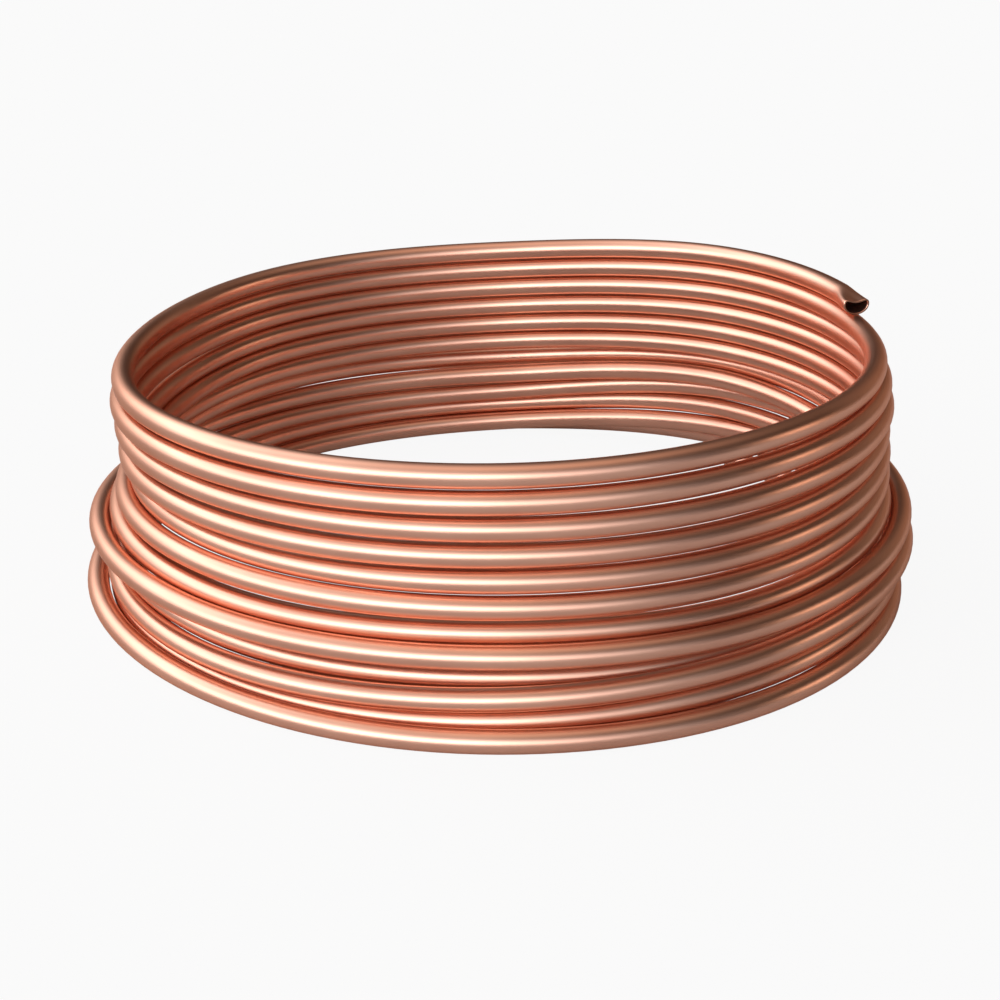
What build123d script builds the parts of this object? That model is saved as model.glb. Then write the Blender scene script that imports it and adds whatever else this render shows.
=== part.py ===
from build123d import *
import math
import os

# The tube, in millimetres: half-inch soft copper with a 0.8 mm wall
TUBE_DIAMETER = 12.7
WALL = 0.8
BORE = TUBE_DIAMETER - 2 * WALL

# The winding: radius to the middle of the tube in the neat upper turns, in millimetres
COIL_RADIUS = 217.0

# Where the tube starts on the floor and where the winding ends on top, in degrees
# counter-clockwise from the right (+X), seen from above. The tube rises clockwise.
START_ANGLE = 45.0
END_ANGLE = 16.0

# Past the winding the last of the tube runs straight to its open end. A blow from above has
# dented it there: the mouth is as high at its sides as before, but wider and pressed in on top.
MOUTH_LENGTH = 26.0
MOUTH_WIDTH = 16.4
MOUTH_DENT = 4.6
MOUTH_STAGES = [0.1, 0.35, 0.7, 1.0]
DENT_POINTS = 24

# How far each turn has sprung out from the winding radius, in tube diameters.
# One row for each turn, from the floor up, and in each row eight places in the order in
# which the tube passes them: right, front right, front, front left, left, back left, back,
# back right. The short first row is the end on the floor, at the back right, and the short
# last row is the right once more, which the winding doesn't quite reach.
SPREAD = [
    [0.60],
    [1.25, 1.65, 1.55, 1.55, 1.95, 1.80, 1.70, 1.60],
    [1.30, 1.13, 0.60, 0.53, 0.86, 0.50, 0.20, 0.70],
    [1.75, 1.30, 0.90, 0.88, 0.90, 0.85, 0.78, 0.72],
    [0.45, 0.24, -0.06, 0.20, 0.78, 0.55, 0.25, 0.80],
    [1.58, 1.25, 0.98, 1.20, 1.58, 0.70, 0.05, 0.10],
    [0.62, 0.40, 0.15, 0.30, 0.68, 0.62, 0.96, 0.90],
    [0.50, 0.40, 0.30, 0.27, 0.26, 0.10, 0.35, 0.20],
    [0.40, 0.35, 0.10, -0.36, -0.36, -0.05, 0.30, 0.20],
    [0.30, 0.30, 0.05, 0.00, 0.00, 0.00, 0.20, 0.15],
    [0.40, 0.30, 0.10, 0.05, 0.10, 0.05, 0.10, 0.15],
    [0.25, 0.15, 0.10, 0.20, 0.20, 0.10, 0.00, 0.10],
    [-0.05, 0.00, 0.00, 0.10, 0.05, 0.05, -0.10, 0.05],
    [0.00],
]

# How high the middle of the tube lies above that of the bottom turn at the same places,
# also in tube diameters. Where two turns lie side by side their heights are nearly the same.
HEIGHT = [
    [0.00],
    [0.00, 0.00, 0.00, 0.00, 0.00, 0.00, 0.00, 0.76],
    [1.02, 0.88, 0.42, 0.05, 0.00, 0.10, 0.50, 1.70],
    [2.12, 1.95, 1.50, 1.04, 1.02, 1.07, 1.34, 2.73],
    [2.72, 1.98, 1.99, 1.81, 2.10, 2.06, 2.27, 3.78],
    [3.50, 3.25, 3.35, 3.15, 2.97, 3.07, 3.34, 4.58],
    [4.04, 3.82, 4.00, 3.66, 3.56, 4.13, 4.07, 5.28],
    [5.36, 5.07, 5.14, 4.87, 4.57, 5.01, 5.20, 6.18],
    [6.40, 6.19, 6.17, 5.69, 5.41, 6.05, 6.24, 7.20],
    [7.45, 7.31, 7.23, 6.86, 6.43, 7.07, 7.29, 8.25],
    [8.50, 8.46, 8.34, 8.02, 7.65, 8.09, 8.35, 9.28],
    [9.52, 9.57, 9.42, 9.12, 8.73, 9.12, 9.39, 10.31],
    [10.51, 10.66, 10.47, 10.19, 9.82, 10.18, 10.44, 11.34],
    [11.50],
]

TURNS = len(SPREAD) - 2
TURNED = 360.0 * TURNS + START_ANGLE - END_ANGLE
PLACE_ANGLE = 360.0 / len(SPREAD[1])
SPANS_PER_PLACE = 2


def along_tube(rows):
    """The values of one table in the order in which the tube passes them."""
    values = []
    for row in rows:
        values.extend(row)
    return values


def smooth_value(values, place):
    """A smooth curve through evenly spaced values, read at any place along them."""
    last = len(values) - 1
    index = min(max(int(place), 0), last - 1)
    part = place - index
    before = values[max(index - 1, 0)]
    here = values[index]
    there = values[index + 1]
    after = values[min(index + 2, last)]
    slope_here = (there - before) / 2
    slope_there = (after - here) / 2
    bend = here - there + (slope_here + slope_there) / 2
    return (here + slope_here * part
            + (3 * (there - here) - 2 * slope_here - slope_there) * part**2
            + 2 * bend * part**3)


SPREAD_ALONG = along_tube(SPREAD)
HEIGHT_ALONG = along_tube(HEIGHT)


def route_point(turned):
    """The middle of the tube after it has turned by so many degrees."""
    place = turned / PLACE_ANGLE
    angle = math.radians(START_ANGLE - turned)
    radius = COIL_RADIUS + smooth_value(SPREAD_ALONG, place) * TUBE_DIAMETER
    above_floor = max(smooth_value(HEIGHT_ALONG, place), 0)
    height = (0.5 + above_floor) * TUBE_DIAMETER
    return Vector(radius * math.cos(angle), radius * math.sin(angle), height)


def route_heading(turned):
    """The direction in which the tube runs there."""
    step = 0.01
    return (route_point(turned + step) - route_point(turned - step)).normalized()


def two_arcs(start, start_heading, end, end_heading):
    """Two arcs from one point to the next, tangent to each other and to both headings."""
    chord = end - start
    both = start_heading + end_heading
    square = 2 * (1 - start_heading.dot(end_heading))
    line = chord.dot(both)
    reach = (math.sqrt(line**2 + square * chord.dot(chord)) - line) / square
    middle = (start + start_heading * reach + end - end_heading * reach) * 0.5
    first = Edge.make_tangent_arc(start, start_heading, middle)
    second = Edge.make_tangent_arc(middle, first % 1, end)
    return [first, second]


def tube_route():
    """The whole line of the tube's middle, as arcs that run smoothly into one another."""
    spans = round(TURNED / PLACE_ANGLE * SPANS_PER_PLACE)
    stops = [TURNED * i / spans for i in range(spans + 1)]
    arcs = []
    for here, there in zip(stops, stops[1:]):
        arcs.extend(two_arcs(route_point(here), route_heading(here),
                             route_point(there), route_heading(there)))
    return Wire(arcs)


def skin_point(angle, share):
    """A point round the outer skin where the dent has reached this share of its depth."""
    radius = TUBE_DIAMETER / 2
    half_width = radius + share * (MOUTH_WIDTH / 2 - radius)
    pressed_in = share * MOUTH_DENT * max(math.sin(angle), 0)**3
    # The side away from the coil's middle and the underside stay where they were
    across = radius - half_width + half_width * math.cos(angle)
    return Vector(across, radius * math.sin(angle) - pressed_in)


def dented_outline(share, depth):
    """The closed line round the tube there, this deep in its wall."""
    points = []
    for i in range(DENT_POINTS):
        angle = 2 * math.pi * i / DENT_POINTS
        ahead = skin_point(angle + 0.001, share) - skin_point(angle - 0.001, share)
        points.append(skin_point(angle, share) + ahead.normalized().rotate(Axis.Z, 90) * depth)
    return Wire([Edge.make_spline(points, periodic=True)])


def mouth_plane(route, distance):
    """The plane across the straight end of the tube, this far past the winding."""
    heading = route % 1
    outward = heading.cross(Vector(0, 0, 1)) * -1
    return Plane(origin=route @ 1 + heading * distance, x_dir=outward, z_dir=heading)


def mouth_outline(route, distance, depth):
    """The same line in its place on the tube, where the dent deepens towards the mouth."""
    part = distance / MOUTH_LENGTH
    share = part**2 * (3 - 2 * part)
    return mouth_plane(route, distance).from_local_coords(dented_outline(share, depth))


def tube_skin(route, depth):
    """One skin of the tube from end to end, the outer one or that of the bore."""
    radius = TUBE_DIAMETER / 2 - depth
    start = Wire.make_circle(radius, Plane(origin=route @ 0, z_dir=route % 0))
    wound = Solid.sweep(start, route, make_solid=False).faces()
    outlines = [Wire.make_circle(radius, mouth_plane(route, 0))]
    for part in MOUTH_STAGES:
        outlines.append(mouth_outline(route, part * MOUTH_LENGTH, depth))
    mouth = Solid.make_loft(outlines).faces().filter_by(GeomType.PLANE, reverse=True)
    return wound + mouth


def lips(route):
    """The metal that shows at the two ends: a round ring on the floor and the dented mouth."""
    start = Plane(origin=route @ 0, z_dir=route % 0)
    ring = (start * (Circle(TUBE_DIAMETER / 2) - Circle(BORE / 2))).face()
    mouth = Face(mouth_outline(route, MOUTH_LENGTH, 0), [mouth_outline(route, MOUTH_LENGTH, WALL)])
    return [ring, mouth]


def copper_tube():
    """The one wound length of tube."""
    route = tube_route()
    faces = tube_skin(route, 0) + tube_skin(route, WALL) + lips(route)
    return Solid(Shell(faces))


os.makedirs("parts", exist_ok=True)
export_step(copper_tube(), "parts/copper_tube.step")
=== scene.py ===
import math

import bpy
import numpy as np
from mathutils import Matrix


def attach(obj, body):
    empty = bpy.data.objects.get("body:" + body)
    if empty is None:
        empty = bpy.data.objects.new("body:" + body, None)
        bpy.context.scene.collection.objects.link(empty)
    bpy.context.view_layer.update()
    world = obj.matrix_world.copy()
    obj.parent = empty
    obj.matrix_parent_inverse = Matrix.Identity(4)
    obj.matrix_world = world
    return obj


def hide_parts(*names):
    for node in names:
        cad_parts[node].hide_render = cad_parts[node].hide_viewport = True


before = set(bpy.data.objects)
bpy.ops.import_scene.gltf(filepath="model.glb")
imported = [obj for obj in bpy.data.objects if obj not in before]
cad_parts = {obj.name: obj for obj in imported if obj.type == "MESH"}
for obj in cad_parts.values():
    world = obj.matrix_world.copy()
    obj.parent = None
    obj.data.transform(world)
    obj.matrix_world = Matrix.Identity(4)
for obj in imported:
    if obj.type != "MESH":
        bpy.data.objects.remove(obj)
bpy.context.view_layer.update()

# The tube and its winding, in metres and degrees: the same values as the solid's
TUBE = 0.0127
WALL = 0.0008
COIL_RADIUS = 0.217
START_ANGLE = 45.0
END_ANGLE = 16.0

# The straight last stretch, dented towards its mouth
MOUTH_LENGTH = 0.026
MOUTH_WIDTH = 0.0164
MOUTH_DENT = 0.0046

# Turn by turn from the floor up: how far out from the winding radius, in tube diameters, at
# the right, front right, front, front left, left, back left, back and back right. The first
# row is the end on the floor, and the last is the right once more, just past the winding.
SPREAD = [
    [0.60],
    [1.25, 1.65, 1.55, 1.55, 1.95, 1.80, 1.70, 1.60],
    [1.30, 1.13, 0.60, 0.53, 0.86, 0.50, 0.20, 0.70],
    [1.75, 1.30, 0.90, 0.88, 0.90, 0.85, 0.78, 0.72],
    [0.45, 0.24, -0.06, 0.20, 0.78, 0.55, 0.25, 0.80],
    [1.58, 1.25, 0.98, 1.20, 1.58, 0.70, 0.05, 0.10],
    [0.62, 0.40, 0.15, 0.30, 0.68, 0.62, 0.96, 0.90],
    [0.50, 0.40, 0.30, 0.27, 0.26, 0.10, 0.35, 0.20],
    [0.40, 0.35, 0.10, -0.36, -0.36, -0.05, 0.30, 0.20],
    [0.30, 0.30, 0.05, 0.00, 0.00, 0.00, 0.20, 0.15],
    [0.40, 0.30, 0.10, 0.05, 0.10, 0.05, 0.10, 0.15],
    [0.25, 0.15, 0.10, 0.20, 0.20, 0.10, 0.00, 0.10],
    [-0.05, 0.00, 0.00, 0.10, 0.05, 0.05, -0.10, 0.05],
    [0.00],
]

# The same for the height above the bottom turn
HEIGHT = [
    [0.00],
    [0.00, 0.00, 0.00, 0.00, 0.00, 0.00, 0.00, 0.76],
    [1.02, 0.88, 0.42, 0.05, 0.00, 0.10, 0.50, 1.70],
    [2.12, 1.95, 1.50, 1.04, 1.02, 1.07, 1.34, 2.73],
    [2.72, 1.98, 1.99, 1.81, 2.10, 2.06, 2.27, 3.78],
    [3.50, 3.25, 3.35, 3.15, 2.97, 3.07, 3.34, 4.58],
    [4.04, 3.82, 4.00, 3.66, 3.56, 4.13, 4.07, 5.28],
    [5.36, 5.07, 5.14, 4.87, 4.57, 5.01, 5.20, 6.18],
    [6.40, 6.19, 6.17, 5.69, 5.41, 6.05, 6.24, 7.20],
    [7.45, 7.31, 7.23, 6.86, 6.43, 7.07, 7.29, 8.25],
    [8.50, 8.46, 8.34, 8.02, 7.65, 8.09, 8.35, 9.28],
    [9.52, 9.57, 9.42, 9.12, 8.73, 9.12, 9.39, 10.31],
    [10.51, 10.66, 10.47, 10.19, 9.82, 10.18, 10.44, 11.34],
    [11.50],
]

PLACE_ANGLE = 360.0 / len(SPREAD[1])
TURNED = 360.0 * (len(SPREAD) - 2) + START_ANGLE - END_ANGLE

# How finely the skin is divided: degrees of turn between rings, rings along the mouth, points
# in a ring, and how many rings of the outside there are for one in the bore
RING_ANGLE = 2.5
MOUTH_STEPS = 18
ROUND = 32
BORE_SPACING = 3

# How much of the floor is plain white to the camera and to reflections; the rest is lit grey
WHITE_SEEN = 0.92
WHITE_MIRRORED = 0.05
FLOOR_HALF = 12.0

CAMERA_PLACE = (0.0, -1.0381, 0.4584)
CAMERA_TILT = 68.03
LENS = 66.54


def smooth_values(rows, place):
    """A smooth curve through a table's evenly spaced values, read at many places at once."""
    values = np.array([value for row in rows for value in row])
    last = len(values) - 1
    index = np.clip(place.astype(int), 0, last - 1)
    part = place - index
    before = values[np.maximum(index - 1, 0)]
    here = values[index]
    there = values[index + 1]
    after = values[np.minimum(index + 2, last)]
    slope_here = (there - before) / 2
    slope_there = (after - here) / 2
    bend = here - there + (slope_here + slope_there) / 2
    return (here + slope_here * part
            + (3 * (there - here) - 2 * slope_here - slope_there) * part**2
            + 2 * bend * part**3)


def winding(turned):
    """The middle of the tube, after it has turned by these many degrees."""
    place = turned / PLACE_ANGLE
    angle = np.radians(START_ANGLE - turned)
    radius = COIL_RADIUS + smooth_values(SPREAD, place) * TUBE
    height = (0.5 + np.maximum(smooth_values(HEIGHT, place), 0)) * TUBE
    return np.stack([radius * np.cos(angle), radius * np.sin(angle), height], axis=1)


def stations():
    """Middle of the tube, its heading and the share of the dent, place by place along it."""
    turned = np.linspace(0.0, TURNED, round(TURNED / RING_ANGLE) + 1)
    middle = winding(turned)
    heading = winding(turned + 0.01) - winding(turned - 0.01)
    heading /= np.linalg.norm(heading, axis=1)[:, None]
    part = np.arange(1, MOUTH_STEPS + 1) / MOUTH_STEPS
    straight = middle[-1] + heading[-1] * (part * MOUTH_LENGTH)[:, None]
    share = part**2 * (3 - 2 * part)
    middle = np.concatenate([middle, straight])
    heading = np.concatenate([heading, np.repeat(heading[-1:], MOUTH_STEPS, axis=0)])
    return middle, heading, np.concatenate([np.zeros(len(turned)), share])


def outline(share, depth):
    """Points round the tube, this deep in its wall: a circle, or dented by a share."""
    angle = np.arange(ROUND) * 2 * math.pi / ROUND
    c, s = np.cos(angle), np.sin(angle)
    radius = TUBE / 2
    half_width = radius + share * (MOUTH_WIDTH / 2 - radius)
    dent = share * MOUTH_DENT
    across = radius - half_width + half_width * c
    up = radius * s - dent * np.maximum(s, 0)**3
    ahead = np.stack([-half_width * s, radius * c - 3 * dent * np.maximum(s, 0)**2 * c])
    ahead /= np.linalg.norm(ahead, axis=0)
    return across - ahead[1] * depth, up + ahead[0] * depth


def skin(middle, heading, shares, depth):
    """Rings of points round the tube, one for each station."""
    outward = np.cross(np.array([0.0, 0.0, 1.0]), heading)
    outward /= np.linalg.norm(outward, axis=1)[:, None]
    upward = np.cross(heading, outward)
    rings = []
    for m, o, u, share in zip(middle, outward, upward, shares):
        across, up = outline(share, depth)
        rings.append(m + across[:, None] * o + up[:, None] * u)
    return np.concatenate(rings)


def tube_mesh():
    """The whole tube with its bore and lips as one closed surface, and its length."""
    middle, heading, shares = stations()
    steps = np.linalg.norm(np.diff(middle, axis=0), axis=1)
    length = np.concatenate([[0], np.cumsum(steps)])
    last = len(middle) - 1
    outer_rows = np.arange(last + 1)
    # The bore is out of sight but for the mouth, so fewer rings carry it along the winding
    wound = last - MOUTH_STEPS
    inner_rows = np.concatenate([np.arange(0, wound, BORE_SPACING), np.arange(wound, last + 1)])
    outer = skin(middle, heading, shares, 0)
    inner = skin(middle[inner_rows], heading[inner_rows], shares[inner_rows], WALL)
    girth = math.pi * TUBE
    faces, uvs = [], []

    def band(first, second, s_first, s_second, flip):
        for k in range(ROUND):
            n = (k + 1) % ROUND
            quad = [first + k, first + n, second + n, second + k]
            v0, v1 = k / ROUND * girth, (k + 1) / ROUND * girth
            uv = [(s_first, v0), (s_first, v1), (s_second, v1), (s_second, v0)]
            if flip:
                quad.reverse()
                uv.reverse()
            faces.append(quad)
            uvs.extend(uv)

    for a, b in zip(outer_rows, outer_rows[1:]):
        band(a * ROUND, b * ROUND, length[a], length[b], True)
    start = (last + 1) * ROUND
    for i, (a, b) in enumerate(zip(inner_rows, inner_rows[1:])):
        band(start + i * ROUND, start + (i + 1) * ROUND, length[a], length[b], False)
    lip_faces = len(faces)
    band(0, start, 0.0, -WALL, False)
    end_inner = start + (len(inner_rows) - 1) * ROUND
    band(last * ROUND, end_inner, length[-1], length[-1] + WALL, True)
    mesh = bpy.data.meshes.new("copper_tube_skin")
    mesh.from_pydata(np.concatenate([outer, inner]).tolist(), [], faces)
    layer = mesh.uv_layers.new(name="along")
    layer.data.foreach_set("uv", np.array(uvs).ravel())
    smooth = np.ones(len(faces), dtype=bool)
    smooth[lip_faces:] = False
    mesh.polygons.foreach_set("use_smooth", smooth)
    mesh.update()
    return mesh, length[-1]


def node(tree, kind, **settings):
    made = tree.nodes.new(kind)
    for name, value in settings.items():
        setattr(made, name, value)
    return made


def math_node(tree, operation, *values):
    """The result of a Math node that is fed with sockets or plain numbers."""
    made = node(tree, "ShaderNodeMath", operation=operation)
    for socket, value in zip(made.inputs, values):
        if isinstance(value, bpy.types.NodeSocket):
            tree.links.new(value, socket)
        else:
            socket.default_value = value
    return made.outputs["Value"]


def copper_material(tube_length):
    """Drawn copper: satin, with fine streaks along it, faint tarnish and dull cut faces."""
    mat = bpy.data.materials.new("drawn_copper")
    mat.use_nodes = True
    tree = mat.node_tree
    tree.nodes.clear()
    links = tree.links
    uv = node(tree, "ShaderNodeUVMap", uv_map="along")
    # Streaks run along the tube, so the pattern is stretched in that direction
    streak_map = node(tree, "ShaderNodeMapping")
    streak_map.inputs["Scale"].default_value = (9.0, 2600.0, 1.0)
    links.new(uv.outputs["UV"], streak_map.inputs["Vector"])
    streaks = node(tree, "ShaderNodeTexNoise")
    streaks.inputs["Scale"].default_value = 1.0
    streaks.inputs["Detail"].default_value = 4.0
    links.new(streak_map.outputs["Vector"], streaks.inputs["Vector"])
    where = node(tree, "ShaderNodeTexCoord")
    blotch = node(tree, "ShaderNodeTexNoise")
    blotch.inputs["Scale"].default_value = 14.0
    blotch.inputs["Detail"].default_value = 3.0
    links.new(where.outputs["Object"], blotch.inputs["Vector"])
    tint = node(tree, "ShaderNodeValToRGB")
    tint.color_ramp.elements[0].position = 0.3
    tint.color_ramp.elements[0].color = (0.75, 0.40, 0.29, 1)
    tint.color_ramp.elements[1].position = 0.72
    tint.color_ramp.elements[1].color = (0.86, 0.49, 0.36, 1)
    links.new(blotch.outputs["Fac"], tint.inputs["Fac"])
    # The cut faces lie past both ends of the tube's length; they are duller and browner
    split = node(tree, "ShaderNodeSeparateXYZ")
    links.new(uv.outputs["UV"], split.inputs["Vector"])
    cut = math_node(tree, "MAXIMUM",
                    math_node(tree, "LESS_THAN", split.outputs["X"], 0.0),
                    math_node(tree, "GREATER_THAN", split.outputs["X"], tube_length))
    color = node(tree, "ShaderNodeMix", data_type="RGBA")
    color.inputs["B"].default_value = (0.30, 0.14, 0.09, 1)
    links.new(cut, color.inputs["Factor"])
    links.new(tint.outputs["Color"], color.inputs["A"])
    rough = node(tree, "ShaderNodeMapRange")
    rough.inputs["To Min"].default_value = 0.26
    rough.inputs["To Max"].default_value = 0.38
    links.new(streaks.outputs["Fac"], rough.inputs["Value"])
    bump = node(tree, "ShaderNodeBump")
    bump.inputs["Strength"].default_value = 0.15
    bump.inputs["Distance"].default_value = 0.00006
    links.new(streaks.outputs["Fac"], bump.inputs["Height"])
    shader = node(tree, "ShaderNodeBsdfPrincipled")
    shader.inputs["Metallic"].default_value = 1.0
    shader.inputs["Specular Tint"].default_value = (0.92, 0.62, 0.50, 1)
    links.new(color.outputs["Result"], shader.inputs["Base Color"])
    links.new(rough.outputs["Result"], shader.inputs["Roughness"])
    links.new(bump.outputs["Normal"], shader.inputs["Normal"])
    result = node(tree, "ShaderNodeOutputMaterial")
    links.new(shader.outputs["BSDF"], result.inputs["Surface"])
    return mat


def floor_material():
    """A floor that the camera sees as nearly white, with the coil's faint shadow on it."""
    mat = bpy.data.materials.new("floor")
    mat.use_nodes = True
    tree = mat.node_tree
    tree.nodes.clear()
    links = tree.links
    diffuse = node(tree, "ShaderNodeBsdfDiffuse")
    diffuse.inputs["Color"].default_value = (0.5, 0.5, 0.5, 1)
    white = node(tree, "ShaderNodeEmission")
    white.inputs["Color"].default_value = (1, 1, 1, 1)
    white.inputs["Strength"].default_value = 1.0
    ray = node(tree, "ShaderNodeLightPath")
    seen = math_node(tree, "MAXIMUM",
                     ray.outputs["Is Camera Ray"], ray.outputs["Is Transmission Ray"])
    share = math_node(tree, "MAXIMUM",
                      math_node(tree, "MULTIPLY", seen, WHITE_SEEN),
                      math_node(tree, "MULTIPLY", ray.outputs["Is Glossy Ray"], WHITE_MIRRORED))
    mix = node(tree, "ShaderNodeMixShader")
    links.new(share, mix.inputs["Fac"])
    links.new(diffuse.outputs["BSDF"], mix.inputs[1])
    links.new(white.outputs["Emission"], mix.inputs[2])
    result = node(tree, "ShaderNodeOutputMaterial")
    links.new(mix.outputs["Shader"], result.inputs["Surface"])
    return mat


def add_object(name, mesh, material):
    thing = bpy.data.objects.new(name, mesh)
    bpy.context.scene.collection.objects.link(thing)
    mesh.materials.append(material)
    return thing


# The room's soft lights: azimuth from +X and elevation in degrees, sharpness, strength and
# colour. Daylight comes from the left and the front, and the rest of the room is dim and warm.
DAY = (0.96, 1.0, 1.04)
WARM = (1.0, 0.74, 0.56)
LIGHT_PATCHES = [
    (185, 9, 12, 1.4, DAY),
    (218, 8, 12, 2.1, DAY),
    (252, 8, 12, 2.2, DAY),
    (288, 8, 12, 1.5, DAY),
    (144, 30, 12, 2.0, DAY),
    (155, 52, 12, 0.8, DAY),
    (225, 50, 9, 0.5, DAY),
    (132, 22, 30, 0.9, DAY),
    (165, 22, 30, 1.1, DAY),
    (190, 21, 30, 1.2, DAY),
    (215, 20, 30, 1.3, DAY),
    (240, 20, 30, 1.5, DAY),
    (262, 22, 30, 1.8, DAY),
    (0, 90, 8, 0.9, WARM),
    (50, 8, 12, 0.35, WARM),
    (0, 9, 90, 2.9, WARM),
]


def light_patch(tree, direction, azimuth, elevation, sharpness, strength, color):
    """One soft patch of light in the world, brightest at its middle."""
    links = tree.links
    a, e = math.radians(azimuth), math.radians(elevation)
    turn = node(tree, "ShaderNodeVectorMath", operation="DOT_PRODUCT")
    turn.inputs[1].default_value = (math.cos(e) * math.cos(a),
                                    math.cos(e) * math.sin(a),
                                    math.sin(e))
    links.new(direction, turn.inputs[0])
    # e^(sharpness * (cosine - 1))
    scaled = math_node(tree, "MULTIPLY_ADD", turn.outputs["Value"], sharpness, -sharpness)
    falloff = math_node(tree, "EXPONENT", scaled)
    level = node(tree, "ShaderNodeVectorMath", operation="SCALE")
    level.inputs["Vector"].default_value = [strength * c for c in color]
    links.new(falloff, level.inputs["Scale"])
    return level.outputs["Vector"]


def studio():
    """The floor, and a dim room with soft light at the front, the left and the back left."""
    floor_mesh = bpy.data.meshes.new("floor")
    s = FLOOR_HALF
    floor_mesh.from_pydata([(-s, -s, 0), (s, -s, 0), (s, s, 0), (-s, s, 0)], [], [(0, 1, 2, 3)])
    floor = add_object("floor", floor_mesh, floor_material())

    world = bpy.data.worlds.new("studio")
    world.use_nodes = True
    tree = world.node_tree
    tree.nodes.clear()
    links = tree.links
    where = node(tree, "ShaderNodeTexCoord")
    total = None
    for patch in LIGHT_PATCHES:
        color = light_patch(tree, where.outputs["Generated"], *patch)
        if total is not None:
            both = node(tree, "ShaderNodeVectorMath", operation="ADD")
            links.new(total, both.inputs[0])
            links.new(color, both.inputs[1])
            color = both.outputs["Vector"]
        total = color
    light = node(tree, "ShaderNodeBackground")
    links.new(total, light.inputs["Color"])
    result = node(tree, "ShaderNodeOutputWorld")
    links.new(light.outputs["Background"], result.inputs["Surface"])
    bpy.context.scene.world = world


def camera():
    lens = bpy.data.cameras.new("camera")
    lens.lens = LENS
    lens.sensor_width = 36.0
    view = bpy.data.objects.new("camera", lens)
    view.location = CAMERA_PLACE
    view.rotation_euler = (math.radians(CAMERA_TILT), 0.0, 0.0)
    bpy.context.scene.collection.objects.link(view)
    bpy.context.scene.camera = view


mesh, tube_length = tube_mesh()
tube = add_object("copper_tube_wound", mesh, copper_material(tube_length))
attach(tube, "root")
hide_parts("copper_tube")

studio()
camera()
bpy.context.scene.view_settings.view_transform = "Standard"
